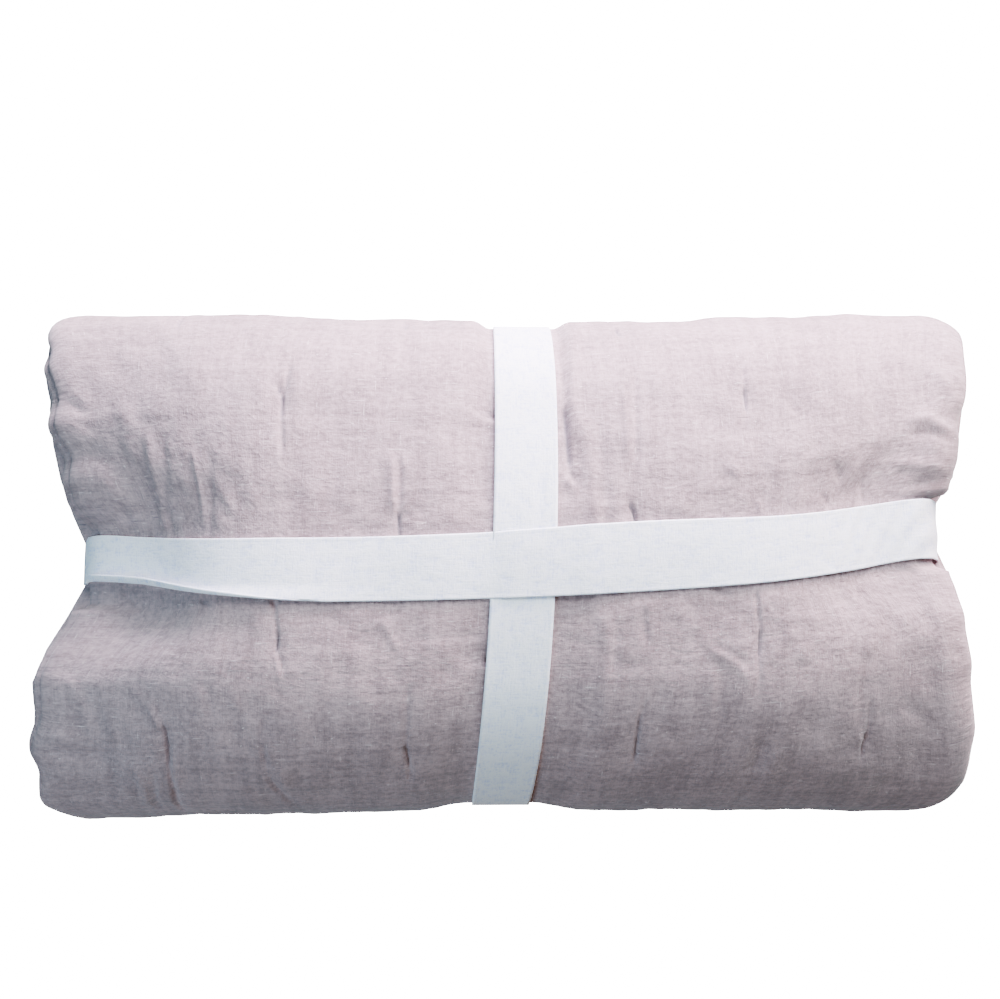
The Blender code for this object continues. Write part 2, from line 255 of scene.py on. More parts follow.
def quarter_value(name, x, y):
    """A value of QUARTERS for each point, by the end and the edge that it lies toward."""
    values = {(row["end"], row["edge"]): row[name] for row in QUARTERS}
    left = np.where(y > 0, values[-1, 1], values[-1, -1])
    right = np.where(y > 0, values[1, 1], values[1, -1])
    return np.where(x > 0, right, left)


def end_puff(y, table):
    """How far an end's cloth stands out at each place across the bundle, from a softened table."""
    places, reaches = np.transpose(table) / MILLIMETRES_IN_METRE
    return sum(share * np.interp(y + shift, places, reaches) for shift, share in PUFF_SOFTENING)


def share_up(z):
    """Height in the square-folded stack, from 0 at its underside to 1 at its top."""
    return (z - LEVEL_GAP / 2) / (HEIGHT - LEVEL_GAP)


def share_toward_left(x, starts_at):
    """0 up to a place on the left half, growing to 1 at the left end."""
    return np.clip((starts_at - x) / (starts_at + HALF_LENGTH), 0, 1)


def settle(points):
    """Moves points of the square-folded stack to where the tied, settled bundle holds them.

    The shares below run from 0 to 1: along the bundle from its middle to its ends, across it from its
    middle to its front and back, and up it from its underside to its top.
    """
    x, y, z = points.T
    along = np.abs(x) / HALF_LENGTH
    across = np.abs(y) / HALF_DEPTH
    up = share_up(z)

    groove_depth = GROOVE_LENGTHWISE + GROOVE_LENGTHWISE_AT_ENDS * along**2
    groove_long = bed(y, GROOVE_LENGTHWISE_FADE) * groove_depth
    groove_cross = bed(x, GROOVE_CROSSWISE_FADE) * GROOVE_CROSSWISE
    toward_end = ease((along - END_FALL_START) / (1 - END_FALL_START))
    top = HEIGHT * (1 - CROWN_FALL * across**2) * (1 - END_FALL * toward_end**1.5)
    top -= np.hypot(groove_long, groove_cross)
    wave_x = np.sin(UNEVEN_TOP["rate_x"] * x + UNEVEN_TOP["start_x"])
    wave_y = np.cos(UNEVEN_TOP["rate_y"] * y + UNEVEN_TOP["start_y"])
    top += UNEVEN_TOP["height"] * wave_x * wave_y
    floor = GROOVE_UNDER * np.hypot(bed(x, GROOVE_UNDER_FADE), bed(y, GROOVE_UNDER_FADE))
    sunk = up - SAG * across**2 * up * (1 - up)
    settled_z = floor + (top - floor) * sunk

    corner = quarter_value("corner", x, y)
    beyond_corner = np.clip(np.abs(y) - (HALF_DEPTH - corner), 0.0, STEEPEST_CORNER * corner)
    draw = corner - np.sqrt(corner**2 - beyond_corner**2)
    draw += quarter_value("waist", x, y) * bed(y, quarter_value("fade", x, y))
    draw -= quarter_value("reach", x, y) * across**2
    draw += END_ROUNDING * np.abs(2 * up - 1) ** 3
    drawn_share = ease((np.abs(x) - END_DRAW_START) / (HALF_LENGTH - END_DRAW_START))
    settled_x = x - np.sign(x) * draw * drawn_share

    waist = np.where(
        y > 0, WAIST_AT_BACK * bed(x, WAIST_AT_BACK_FADE), WAIST_AT_FRONT * bed(x, WAIST_AT_FRONT_FADE)
    )
    flare = quarter_value("flare", x, y) * along**2
    settled_y = y + np.sign(y) * (flare - waist) * across**2

    # The tapes lie at a slight slant, and the bundle's grooves follow them
    drift_x = SHIFT_CROSSWISE + SLANT_CROSSWISE * y - BOW_CROSSWISE * y**2
    drift_y = SHIFT_LENGTHWISE + SLANT_LENGTHWISE * x + BOW_LENGTHWISE * x**2
    settled_x += drift_x * np.clip(1 - along**2, 0, 1)
    settled_y += drift_y * np.clip(1 - across**2, 0, 1)
    return np.column_stack((settled_x, settled_y, settled_z))


def lay(points):
    """Settles points of the square-folded stack, with the ends' puffed folds and the left end's droop."""
    laid = settle(points)
    x, y, z = points.T
    up = share_up(z)
    held = bed(y, PUFF_AT_TAPE_FADE)
    left_puff, right_puff = (
        end_puff(laid[:, 1], table) * (1 - held) + flat * held
        for table, flat in zip((LEFT_END_PUFFS, RIGHT_END_PUFFS), PUFF_AT_TAPE)
    )
    near_end = ease((np.abs(x) - HALF_LENGTH + PUFF_DEPTH) / PUFF_DEPTH)
    lower = 1 - rise(up, LOWER_TUCK)
    laid[:, 0] += np.where(x > 0, right_puff, -left_puff) * near_end
    laid[:, 0] -= np.sign(x) * near_end * (1 - held) * LOWER_TUCK["depth"] * lower
    drooped = share_toward_left(x, LEFT_DROOP["starts_at"])
    laid[:, 2] -= LEFT_DROOP["depth"] * up**2 * drooped**2
    sunk = share_toward_left(x, LEFT_SADDLE["starts_at"])
    laid[:, 2] -= LEFT_SADDLE["depth"] * up * sunk**1.5 * bed(y, LEFT_SADDLE["fade"])
    return laid


# ---------------------------------------------------------------- relief of the cloth

# Lumps of the padding, from the broad ones to the finest crumples, each sheared and stretched a little
PADDING_LUMPS = (
    {"height": 0.0011, "size": 0.046, "seed": 3, "lean": 0.3, "stretch": 1.0, "skew": 0.0},
    {"height": 0.0007, "size": 0.021, "seed": 5, "lean": -0.4, "stretch": 1.0, "skew": 0.2},
    {"height": 0.00045, "size": 0.0105, "seed": 7, "lean": 0.0, "stretch": 1.0, "skew": 0.0},
    {"height": 0.00025, "size": 0.0062, "seed": 9, "lean": 0.5, "stretch": 1.6, "skew": 0.0},
)
# How far a line's relief has risen at its two ends, and over what share of its length it rises
LINE_END_RISE = 0.35
LINE_END_SHARE = 0.25
# Each slit lies in a wide, shallow pucker: shares of the slit's own height and half width
PUCKER_HEIGHT = 0.5
PUCKER_WIDTH = 7
RELIEF_FADE_AT_TAPE = 0.006
# Smooth noise repeats after this many lumps, and starts away from its lattice's edge
LATTICE_CELLS = 97
LATTICE_START = 40

# The stitches' slits and the puckers, creases and ridges round them, in millimetres: height, half
# width, then the places (x, way) that each runs through. Each line was marked and its height and
# width chosen. A script worked out the places in millimetres from the marks.
SLITS = (
    (-3.2, 0.9, (-152.6, -110.0), (-147.7, -104.3), (-147.1, -99.1), (-147.4, -89.5)),
    (-2.8, 1.2, (-17.6, -95.4), (-17.6, -88.3)),
    (-2.7, 0.8, (138.5, -101.2), (138.8, -86.9)),
    (-2.5, 0.9, (-75.1, -32.9), (-73.7, -16.6)),
    (-2.7, 0.8, (62.0, -34.0), (65.1, -27.9), (66.8, -17.4)),
    (-2.7, 0.8, (-142.6, 36.4), (-141.5, 49.0)),
    (-2.8, 1.3, (-16.9, 54.6), (-17.0, 59.5)),
    (-2.7, 0.8, (145.9, 47.2), (146.2, 62.7)),
    (-3.2, 1.0, (-220.9, 97.7), (-218.4, 111.0), (-216.7, 126.6)),
    (-2.5, 0.9, (-62.8, 111.8), (-61.4, 121.1), (-60.0, 130.5)),
    (-2.3, 0.9, (75.9, 93.2), (76.6, 111.8), (78.1, 129.3)),
    (-2.7, 0.9, (237.1, 115.0), (232.9, 123.1), (231.5, 132.5)),
    (-1.9, 1.0, (62.3, -162.8), (63.5, -148.9)),
    (-1.5, 1.0, (-75.8, -168.1), (-75.8, -156.1)),
    (-1.7, 1.2, (-226.8, -177.9), (-226.3, -159.4)),
    (-2.8, 1.4, (23.4, -95.0), (24.7, -73.9), (26.0, -56.9)),
)
FOLDS = (
    (-1.5, 1.8, (-144.5, -121.9), (-146.4, -106.0)),
    (-1.2, 1.8, (-147.4, -89.5), (-145.9, -69.8)),
    (-1.0, 1.8, (139.2, -116.6), (138.6, -102.0)),
    (-0.9, 1.5, (139.0, -85.0), (135.0, -78.8)),
    (-1.4, 2.0, (-75.0, -63.1), (-74.9, -32.9)),
    (1.4, 2.2, (-81.2, -70.0), (-77.4, -35.2)),
    (-1.2, 1.8, (68.7, -115.1), (66.4, -57.8)),
    (0.8, 2.4, (60.7, -106.8), (61.6, -61.1)),
    (-1.8, 1.2, (47.5, -28.9), (49.4, -17.6)),
    (-1.4, 1.6, (-147.3, 21.6), (-142.6, 36.4)),
    (-1.4, 1.4, (-141.5, 49.0), (-137.0, 58.0), (-134.6, 66.5)),
    (1.0, 1.6, (-142.4, 50.2), (-139.0, 56.8)),
    (2.1, 3.0, (-22.3, 64.2), (-17.2, 60.7)),
    (-1.4, 1.6, (143.1, 23.1), (145.9, 46.5)),
    (-1.0, 1.6, (146.2, 63.1), (147.4, 79.2)),
    (-2.2, 2.2, (-216.7, 126.6), (-214.4, 145.6), (-215.2, 183.1)),
    (1.4, 1.8, (-233.3, 82.0), (-222.9, 98.4)),
    (1.4, 3.0, (-212.0, 113.8), (-210.8, 145.6)),
    (-1.4, 1.6, (-60.0, 130.5), (-59.3, 143.4)),
    (-0.9, 1.8, (-63.4, 71.3), (-62.9, 111.0)),
    (-0.9, 1.6, (77.3, 85.1), (77.0, 94.4)),
    (-1.2, 1.8, (237.0, 94.9), (235.7, 114.0)),
    (1.4, 1.8, (227.3, 114.2), (231.3, 122.1)),
    (-0.8, 1.3, (199.2, 133.0), (230.7, 136.4)),
    (-2.4, 1.8, (216.6, -160.0), (223.7, -134.4)),
    (-1.0, 2.2, (245.4, -131.5), (253.0, -105.9)),
    (1.3, 2.3, (-245.5, -83.5), (-255.1, -54.2), (-261.4, -20.6)),
    (-1.2, 2.0, (-234.5, -81.2), (-241.2, -59.9), (-256.5, -37.6)),
    (-1.0, 2.0, (-256.0, -42.1), (-253.8, -32.1), (-252.2, -20.7)),
    (1.0, 2.6, (-213.0, -72.2), (-215.6, -47.7), (-217.6, -31.0)),
    (-1.0, 2.4, (-197.7, -72.1), (-203.9, -54.3), (-211.4, -20.9)),
    (-1.3, 2.2, (-286.0, -43.7), (-291.1, -20.0)),
    (1.0, 2.8, (-289.3, -61.3), (-286.4, -41.5)),
    (0.7, 2.2, (-265.3, -76.6), (-267.5, -67.5)),
    (-0.7, 2.2, (-252.9, -77.8), (-256.8, -65.3)),
    (0.7, 2.2, (-196.1, -49.9), (-186.2, -34.4)),
    (-1.5, 2.0, (-304.9, -104.2), (-298.2, -100.7), (-291.5, -95.8)),
    (0.8, 2.6, (-303.4, -107.5), (-291.7, -104.4)),
    (-0.6, 2.4, (-295.9, -91.7), (-285.7, -82.9)),
    (-0.6, 1.6, (-160.7, -90.0), (-147.9, -87.8)),
    (1.4, 4.0, (31.8, -158.3), (29.6, -102.3), (29.8, -68.2)),
    (-1.0, 1.8, (21.3, -145.3), (23.2, -104.0)),
    (-1.6, 1.5, (23.3, -53.7), (26.8, -53.9), (29.6, -48.4)),
    (1.4, 1.8, (23.3, -50.2), (28.5, -46.7)),
    (1.4, 3.4, (33.8, -89.3), (37.8, -61.5), (41.2, -20.0)),
    (-1.1, 2.6, (44.7, -84.6), (45.7, -55.0), (50.2, -18.7)),
    (-1.0, 1.6, (-34.7, -93.7), (-22.5, -94.8), (-18.4, -92.4)),
    (1.0, 3.0, (-33.0, -88.9), (-19.1, -88.4)),
    (-0.6, 1.6, (-38.6, -32.3), (-19.3, -27.6)),
    (-0.9, 1.6, (-72.0, -31.6), (-60.9, -33.7)),
    (1.8, 2.4, (269.1, -72.9), (290.9, -72.2), (305.6, -63.0)),
    (-2.0, 2.4, (272.5, -63.4), (292.4, -62.3), (306.4, -55.8)),
    (1.4, 3.0, (271.4, -45.1), (299.6, -40.2), (306.5, -36.0)),
    (-1.8, 3.2, (289.4, -30.1), (305.2, -29.9)),
    (-1.5, 2.2, (294.5, -116.7), (304.4, -102.8)),
    (1.2, 2.4, (288.5, -108.3), (300.9, -91.4), (306.3, -78.0)),
    (-1.5, 1.8, (208.8, -49.5), (223.8, -38.6)),
    (-1.5, 1.8, (205.9, -30.6), (216.6, -22.1)),
    (1.4, 2.0, (268.2, -28.2), (277.2, -15.6)),
    (-1.4, 2.2, (247.8, -37.7), (260.3, -19.5)),
    (1.2, 1.8, (123.7, -54.6), (130.8, -46.6)),
    (1.2, 1.8, (144.2, -29.2), (148.1, -21.4)),
    (-0.9, 1.8, (126.7, -46.9), (118.5, -42.8)),
    (-0.9, 1.8, (169.6, -89.8), (179.7, -81.2)),
    (-0.8, 2.2, (178.3, -57.5), (198.9, -62.6)),
    (1.0, 3.4, (43.4, 24.5), (50.4, 37.7), (53.8, 52.9), (51.9, 75.2), (55.8, 97.5)),
    (-0.8, 2.6, (56.8, 38.0), (57.3, 68.2)),
    (-0.8, 1.4, (-64.9, 41.8), (-43.6, 41.6), (-18.7, 40.7)),
    (-1.0, 1.6, (-32.3, 75.5), (-25.1, 81.0), (-16.2, 83.9)),
    (1.0, 2.4, (-24.5, 87.5), (-15.8, 87.9)),
    (-0.5, 1.6, (21.7, 44.0), (40.3, 47.1)),
    (0.9, 3.0, (-81.3, 29.6), (-71.2, 47.4)),
    (1.0, 2.0, (108.8, 46.9), (117.6, 57.6), (130.2, 64.2), (142.6, 78.1)),
    (-0.9, 2.0, (114.2, 51.6), (125.2, 58.1), (136.6, 66.1)),
    (-1.4, 2.2, (121.0, 63.7), (121.9, 84.3), (125.2, 111.5)),
    (1.0, 2.2, (117.5, 66.4), (121.8, 109.6)),
    (-1.8, 5.0, (155.4, 114.7), (156.2, 140.2)),
    (1.2, 6.0, (166.8, 120.6), (166.4, 147.9)),
    (-1.2, 3.0, (259.2, 96.6), (278.1, 107.0), (284.9, 121.6)),
    (0.8, 1.6, (219.5, 79.9), (248.6, 78.7)),
    (-1.0, 1.8, (153.3, 104.6), (168.4, 112.0)),
    (0.6, 1.4, (169.0, 41.0), (194.5, 43.0)),
    (-0.9, 2.2, (71.3, 27.1), (75.8, 52.2)),
    (-1.2, 2.4, (301.7, 69.2), (306.6, 91.3)),
    (1.5, 2.8, (-252.1, 130.3), (-241.8, 128.5), (-237.1, 145.5), (-237.3, 176.8)),
    (-1.4, 2.6, (-228.7, 133.7), (-231.8, 181.8)),
    (-1.4, 2.2, (-148.4, 109.1), (-146.1, 124.9)),
    (-1.7, 2.2, (-146.7, 132.0), (-140.0, 154.0), (-130.9, 174.3)),
    (1.2, 2.4, (-138.9, 130.3), (-134.1, 146.8)),
    (1.0, 1.8, (-294.6, 66.4), (-286.5, 80.6), (-274.5, 104.8)),
    (1.5, 3.4, (-303.6, 105.7), (-285.3, 109.0), (-263.3, 110.2)),
    (-1.8, 3.6, (-305.9, 118.3), (-285.4, 119.2), (-263.4, 119.0)),
    (0.9, 1.6, (-250.2, 69.4), (-236.3, 80.8)),
    (-1.8, 3.0, (-309.7, 42.6), (-303.7, 42.6)),
    (0.9, 2.0, (-266.0, 92.8), (-256.1, 107.3)),
    (-0.8, 2.4, (-188.2, 66.6), (-182.6, 92.7)),
    (0.9, 1.8, (-168.6, 76.2), (-163.0, 84.9)),
    (-2.1, 2.4, (-217.8, 16.6), (-204.4, 21.8)),
    (-2.1, 2.2, (-148.1, 16.3), (-146.0, 24.6)),
    (-2.1, 2.2, (112.8, 19.5), (125.2, 24.0)),
    (-1.8, 1.8, (286.1, 21.8), (293.4, 24.4)),
)

def bundle_offset():
    """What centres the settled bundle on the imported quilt's box."""
    stops = section_stops()
    ring = strip_ring()
    settled = settle(square_points(stops, ring).reshape(-1, 3))
    middle = (settled.min(axis=0) + settled.max(axis=0)) / 2
    wanted = (QUILT_LOW + QUILT_HIGH) / 2
    return np.array((wanted[0] - middle[0], wanted[1] - middle[1], 0.0))


def square_points(stops, ring):
    """The strip's skin in the square-folded stack, as rows of stops by places round the ring."""
    stop_y, stop_z, out_y, out_z = np.array(stops).T[:, :, None]
    x = np.tile(ring[:, 0], (len(stops), 1))
    lift = HALF_STRIP * ring[None, :, 1]
    return np.stack((x, stop_y + lift * out_y, stop_z + lift * out_z), axis=-1)


def lattice_noise(u, v, size, seed):
    """Smooth noise from -1 to 1 with lumps of about the given size."""
    lattice = np.random.default_rng(seed).uniform(-1, 1, (LATTICE_CELLS, LATTICE_CELLS))
    cell_u, cell_v = u / size + LATTICE_START, v / size + LATTICE_START
    column, row = np.floor(cell_u).astype(int), np.floor(cell_v).astype(int)
    right, up = ease(cell_u - column), ease(cell_v - row)

    def along_row(row):
        near, far = (lattice[row % LATTICE_CELLS, place % LATTICE_CELLS] for place in (column, column + 1))
        return near * (1 - right) + far * right

    return along_row(row) * (1 - up) + along_row(row + 1) * up


def uneven_padding(x, way):
    """Lumps of the padding and shallow crumples of the cover."""
    relief = np.zeros_like(x)
    for row in PADDING_LUMPS:
        u, v = x + row["lean"] * way, row["stretch"] * way + row["skew"] * x
        relief += row["height"] * lattice_noise(u, v, row["size"], row["seed"])
    return relief


def line_relief(x, way, row):
    """A ridge or trough along a line through places, fading toward both ends."""
    height, half, *places = row
    places = np.array(places) / MILLIMETRES_IN_METRE
    steps = np.linalg.norm(np.diff(places, axis=0), axis=1)
    length = steps.sum()
    nearest = np.full_like(x, np.inf)
    travelled = np.zeros_like(x)
    walked = 0.0
    for start, end, step in zip(places, places[1:], steps):
        run = (end - start) / step
        away_x, away_way = x - start[0], way - start[1]
        along = away_x * run[0] + away_way * run[1]
        held = np.clip(along, 0, step)
        distance = np.hypot(away_x - held * run[0], away_way - held * run[1])
        closer = distance < nearest
        nearest = np.where(closer, distance, nearest)
        travelled = np.where(closer, walked + held, travelled)
        walked += step
    share = travelled / length
    from_start, from_end = (ease(part / LINE_END_SHARE + LINE_END_RISE) for part in (share, 1 - share))
    fade = from_start * from_end
    return height / MILLIMETRES_IN_METRE * fade * hump(nearest, 0.0, half / MILLIMETRES_IN_METRE)


def cover_relief(x, way):
    """Height of the covering face above the settled shape. It only sinks below the tapes."""
    relief = uneven_padding(x, way)
    for row in SLITS + FOLDS:
        relief += line_relief(x, way, row)
    for row in SLITS:
        relief += line_relief(x, way, (row[0] * PUCKER_HEIGHT, row[1] * PUCKER_WIDTH, *row[2:]))
    under_tape = np.maximum(bed(x, RELIEF_FADE_AT_TAPE), bed(way, RELIEF_FADE_AT_TAPE))
    return np.where(relief > 0, relief * (1 - under_tape), relief)


def slit_depth(x, way):
    """0 on open cloth to 1 in the bottom of a stitch's slit, where the linen's painted shade is darkest."""
    depth = np.zeros_like(x)
    for row in SLITS:
        full_height = (MILLIMETRES_IN_METRE, *row[1:])
        depth = np.maximum(depth, line_relief(x, way, full_height))
    return np.clip(depth, 0, 1)


# ---------------------------------------------------------------- mesh helpers

# The columns of the covering face: close together within reach of a slit, then growing wider
COVER_SPACING = {"fine": 0.0012, "coarse": 0.0031, "reach": 0.0030, "growth": 0.4}
HIDDEN_COLUMNS = 26
RIGHT_FOLD_POINTS = 17
LEFT_FOLD_POINTS = 11


def graded(start, end, marks, fine, coarse, reach, growth):
    """Places from start to end, close together near the marks."""
    places = [start]
    while places[-1] < end:
        gap = min(abs(places[-1] - mark) for mark in marks)
        places.append(places[-1] + min(coarse, max(fine, fine + growth * (gap - reach))))
    places = np.array(places)
    return start + (places - start) * (end - start) / (places[-1] - start)


def fold_inset(depth_share, folds):
    """How far in from the strip's end its surface lies, at a share of the half thickness."""
    inset = np.full_like(depth_share, np.inf)
    for fold in folds:
        offset = np.clip(np.abs(depth_share - fold["middle"]) / fold["half"], 0, 1)
        inset = np.minimum(inset, fold["depth"] * (1 - np.sqrt(1 - offset**2)))
    return inset


def strip_ring():
    """(x, share of half thickness) places round the strip: covering face, right end, hidden face, left."""
    columns = [np.mean([place[0] for place in row[2:]]) / MILLIMETRES_IN_METRE for row in SLITS]
    flat_right = HALF_LENGTH - RIGHT_FOLDS[0]["depth"]
    flat_left = HALF_LENGTH - LEFT_FOLDS[0]["depth"]
    cover = graded(-flat_left, flat_right, columns, **COVER_SPACING)
    hidden = np.linspace(flat_right, -flat_left, HIDDEN_COLUMNS)
    right_share = np.cos(np.linspace(0, math.pi, RIGHT_FOLD_POINTS))[1:-1]
    left_half = np.cos(np.linspace(0, math.pi, LEFT_FOLD_POINTS))
    upper, lower = (fold["middle"] + fold["half"] * left_half for fold in LEFT_FOLDS)
    left_share = np.concatenate((upper, lower[1:]))[::-1][1:-1]
    right_x = HALF_LENGTH - fold_inset(right_share, RIGHT_FOLDS)
    left_x = -HALF_LENGTH + fold_inset(left_share, LEFT_FOLDS)
    places = [(x, 1.0) for x in cover] + list(zip(right_x, right_share))
    places += [(x, -1.0) for x in hidden] + list(zip(left_x, left_share))
    return np.array(places)


def smooth_mesh(name, points, faces):
    mesh = bpy.data.meshes.new(name)
    mesh.from_pydata(points.tolist(), [], faces)
    mesh.update()
    mesh.shade_smooth()
    return mesh


def quads(index):
    """The faces between neighbouring rows and columns of a grid of point numbers."""
    corners = (index[:-1, :-1], index[1:, :-1], index[1:, 1:], index[:-1, 1:])
    return np.stack(corners, axis=-1).reshape(-1, 4).tolist()


def capped_tube(name, points, rows, columns):
    """A mesh of rows of ring points. Each ring closes, and the two ends get a face each."""
    index = np.arange(rows * columns).reshape(rows, columns)
    caps = [index[0].tolist(), index[-1][::-1].tolist()]
    return smooth_mesh(name, points, quads(np.hstack((index, index[:, :1]))) + caps)


def store_places(mesh, name, places):
    """Keeps where each point lies on the flat cloth, for the weave to follow."""
    attribute = mesh.attributes.new(name, "FLOAT_VECTOR", "POINT")
    attribute.data.foreach_set("vector", np.asarray(places, dtype=np.float32).ravel())


def mesh_normals(mesh):
    normals = np.empty(len(mesh.vertices) * 3)
    mesh.vertex_normals.foreach_get("vector", normals)
    return normals.reshape(-1, 3)


def show(item):
    bpy.context.scene.collection.objects.link(item)
    return item


# ---------------------------------------------------------------- shader expressions

class Value:
    """A number in a shader: a socket, with sums and products written as Python expressions."""

    def __init__(self, shader, socket):
        self.shader = shader
        self.socket = socket

    def maths(self, operation, *others):
        return self.shader.node("ShaderNodeMath", {"operation": operation}, dict(enumerate(others)))

    def __add__(self, other):
        return self.maths("ADD", self, other)

    def __radd__(self, other):
        return self.maths("ADD", other, self)

    def __sub__(self, other):
        return self.maths("SUBTRACT", self, other)

    def __rsub__(self, other):
        return self.maths("SUBTRACT", other, self)

    def __mul__(self, other):
        return self.maths("MULTIPLY", self, other)

    def __rmul__(self, other):
        return self.maths("MULTIPLY", other, self)

    def size(self):
        return self.maths("ABSOLUTE", self)

    def between(self, low, high):
        """0 below low, 1 above high, and smooth in between."""
        settings = {"interpolation_type": "SMOOTHSTEP"}
        values = {"Value": self, "From Min": low, "From Max": high}
        return self.shader.node("ShaderNodeMapRange", settings, values)


def opaque(colour):
    """A colour with its alpha added, or a shader's own value as it is."""
    return colour if isinstance(colour, Value) else (*colour[:3], 1.0)


class Shader:
    """A material under construction."""

    def __init__(self, name, **uniform):
        self.material = bpy.data.materials.new(name)
        self.material.use_nodes = True
        self.nodes = self.material.node_tree.nodes
        self.links = self.material.node_tree.links
        self.surface = self.nodes["Principled BSDF"]
        for socket, value in uniform.items():
            self.surface.inputs[socket.replace("_", " ")].default_value = value

    def node(self, kind, settings=None, values=None, output=0):
        """Adds any node: its settings first, then the values or links of its sockets."""
        made = self.nodes.new(kind)
        for name, value in (settings or {}).items():
            setattr(made, name, value)
        for name, value in (values or {}).items():
            if isinstance(value, Value):
                self.links.new(value.socket, made.inputs[name])
            else:
                made.inputs[name].default_value = value
        return Value(self, made.outputs[output])

    def feed(self, socket, value):
        self.links.new(value.socket, self.surface.inputs[socket])

    def cloth_axes(self):
        """The place on the flat cloth, as two numbers in metres."""
        place = self.node("ShaderNodeAttribute", {"attribute_name": "cloth"}, output="Vector")
        split = self.node("ShaderNodeSeparateXYZ", values={"Vector": place}, output="X")
        return split, Value(self, split.socket.node.outputs["Y"])

    def vector(self, x, y):
        return self.node("ShaderNodeCombineXYZ", values={"X": x, "Y": y})

    def noise(self, place, scale, detail=2.0, roughness=0.5):
        values = {"Vector": place, "Scale": scale, "Detail": detail, "Roughness": roughness}
        return self.node("ShaderNodeTexNoise", values=values)

    def mix(self, share, low, high):
        """A colour between two. The node's colour sockets go by number, as its kinds share their names."""
        values = {0: share, 6: opaque(low), 7: opaque(high)}
        return self.node("ShaderNodeMix", {"data_type": "RGBA"}, values, output=2)

    def bump(self, height, distance, onto=None):
        values = {"Height": height, "Distance": distance}
        if onto:
            values["Normal"] = onto
        return self.node("ShaderNodeBump", values=values)


# Painted shade: the dark colour mixed into the linen down the stitches' slits, where shade falls
PAINTED_SLIT_SHADE = (0.13, 0.12, 0.15)
# How far in from the tape's edge its firm selvedge starts, and is full
SELVEDGE = {"starts": 0.0026, "full": 0.0016}


def linen_material(settings):
    """Washed linen: a fine plain weave, its threads uneven both ways, with slubs and small crumples, and
    painted shade down the stitches' slits.
    """
    shader = Shader("washed linen", Roughness=0.92, Sheen_Weight=0.25, Sheen_Roughness=0.5)
    x, way = shader.cloth_axes()
    weft_long = shader.noise(shader.vector(x * 55.0, way * 950.0), 1.0, 2.0, 0.6) - 0.5
    weft_short = shader.noise(shader.vector(x * 170.0, way * 1000.0), 1.0, 2.0, 0.6) - 0.5
    warp = shader.noise(shader.vector(x * 1000.0, way * 70.0), 1.0, 2.0, 0.6) - 0.5
    warp_short = shader.noise(shader.vector(x * 1000.0, way * 210.0), 1.0, 2.0, 0.6) - 0.5
    grain = shader.noise(shader.vector(x, way), 1000.0, 1.0, 0.5) - 0.5
    mottle = shader.noise(shader.vector(x * 260.0, way * 330.0), 1.0, 3.0, 0.55) - 0.5
    bars = shader.noise(shader.vector(x * 120.0, way * 14.0), 1.0, 2.0, 0.5) - 0.5
    rows = shader.noise(shader.vector(x * 12.0, way * 170.0), 1.0, 2.0, 0.5) - 0.5
    cloudy = shader.noise(shader.vector(x, way), 24.0, 2.0) - 0.5
    nubs = shader.noise(shader.vector(x * 420.0, way * 560.0), 1.0, 1.0, 0.5).between(0.70, 0.78)

    threads = weft_long * 0.25 + weft_short * 0.35 + warp * 0.4 + warp_short * 0.4 + grain * 0.4
    tone = threads * 1.15 + mottle * 1.25 + bars * 0.75 + rows * 0.65 + cloudy * 0.4 + 0.5
    colour = shader.mix(tone.between(0.0, 1.0), settings.shade_colour, settings.colour)
    pale_weft = (weft_long + weft_short * 0.35).between(0.17, 0.27)
    pale_warp = (warp + warp_short * 0.4).between(0.19, 0.29)
    dark = (weft_long + weft_short * 0.5).between(-0.18, -0.28)
    colour = shader.mix(pale_weft * 0.85 + pale_warp * 0.75 + nubs * 0.7, colour, settings.pale_thread)
    colour = shader.mix(dark * 0.9, colour, settings.dark_thread)
    # Painted shade: the linen darkens toward the bottom of each stitch's slit
    slit = shader.node("ShaderNodeAttribute", {"attribute_name": "slit"}, output="Fac")
    colour = shader.mix(slit * 0.6, colour, PAINTED_SLIT_SHADE)
    shader.feed("Base Color", colour)

    crumple = shader.noise(shader.vector(x * 75.0, way * 150.0), 1.0, 2.0, 0.55) - 0.5
    crinkle = shader.noise(shader.vector(x * 170.0, way * 260.0), 1.0, 2.0, 0.5) - 0.5
    creased = 0.0 - crumple.size() - crinkle.size() * 0.45
    relief = shader.bump(creased, 0.0009)
    shader.feed("Normal", shader.bump(threads * 1.2, 0.0002, onto=relief))
    return shader.material


def tape_material(settings):
    """White cotton tape: a fine close weave with a firm selvedge on both edges."""
    shader = Shader("cotton tape", Roughness=0.8, Sheen_Weight=0.1, Sheen_Roughness=0.5)
    across, along = shader.cloth_axes()
    warp = shader.noise(shader.vector(across * 1050.0, along * 110.0), 1.0, 2.0, 0.6) - 0.5
    weft = shader.noise(shader.vector(across * 130.0, along * 1050.0), 1.0, 2.0, 0.6) - 0.5
    specks = shader.noise(shader.vector(across, along), 620.0, 2.0, 0.5) - 0.5
    blotch = shader.noise(shader.vector(across * 150.0, along * 110.0), 1.0, 3.0, 0.5) - 0.5
    tone = warp * 1.2 + weft * 1.3 + specks * 1.2 + blotch * 1.3 + 0.75
    colour = shader.mix(tone.between(0.0, 1.0), settings.shade_colour, settings.colour)
    shader.feed("Base Color", colour)
    edge = settings.width / 2
    selvedge = across.size().between(edge - SELVEDGE["starts"], edge - SELVEDGE["full"])
    height = warp + weft + specks * 0.8 + selvedge * 0.5
    waves = shader.bump(blotch, 0.0004)
    shader.feed("Normal", shader.bump(height, 0.00012, onto=waves))
    return shader.material


# ---------------------------------------------------------------- settings

def length_setting(name, description, default):
    return FloatProperty(name=name, description=description, default=default, unit="LENGTH", precision=4)


def colour_setting(name, description, default):
    return FloatVectorProperty(name=name, description=description, default=default, subtype="COLOR", size=3)


